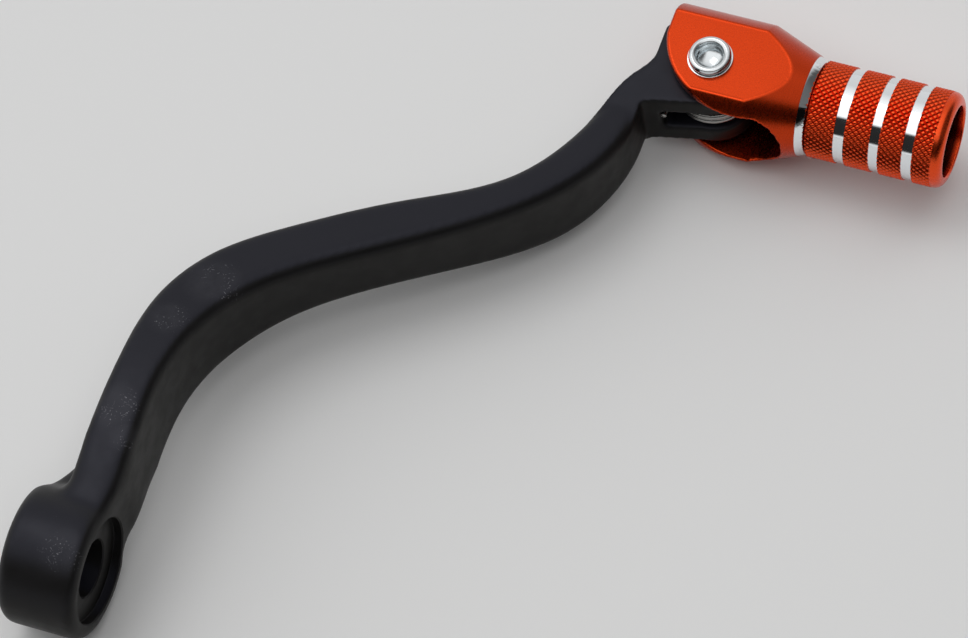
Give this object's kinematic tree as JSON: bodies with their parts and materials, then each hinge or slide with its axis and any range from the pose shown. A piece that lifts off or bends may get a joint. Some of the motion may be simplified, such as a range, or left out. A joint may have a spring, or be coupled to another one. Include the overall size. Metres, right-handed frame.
{
  "type": "gear shift lever",
  "caption": "Folding gear shift lever: splined hub, swan-necked arm and a sprung folding tip with a knurled toe peg.",
  "frame": {"origin": "on the shift shaft's axis, at the hub's outer face, where the screw recess opens", "axes": "+X forward from the shaft to the toe peg, -Y outward along the shaft and the peg, +Z the side on which the pivot rivet is rolled over"},
  "size_m": [0.161, 0.1328, 0.042],
  "materials": {
    "arm_black": "forged aluminium, satin black hard anodised, with fine handling scratches",
    "tip_orange": "machined aluminium, bright orange anodised, with bare turned rings and a diamond knurl on the peg",
    "rivet_steel": "bright nickel plated steel",
    "bush_bronze": "plain sintered bronze",
    "washer_steel": "ground steel",
    "spring_steel": "drawn spring steel wire"
  },
  "bodies": {
    "arm": {"shift_arm": "arm_black", "upper_bush": "bush_bronze", "lower_bush": "bush_bronze", "upper_thrust_washer": "washer_steel", "lower_thrust_washer": "washer_steel", "spring_sleeve": "washer_steel", "return_spring": "spring_steel"},
    "tip": {"folding_tip": "tip_orange", "pivot_pin": "rivet_steel", "rivet_washer": "rivet_steel"}
  },
  "joints": [
    {"name": "tip_fold", "type": "hinge", "parent": "arm", "child": "tip", "pos_m": [0.1337, -0.07075, -0.0168], "axis": [0, 0, -1], "range_deg": [0, 86], "stiffness_Nm_per_rad": 0.36, "springref_deg": -45.84, "deforming": ["return_spring"]}
  ]
}
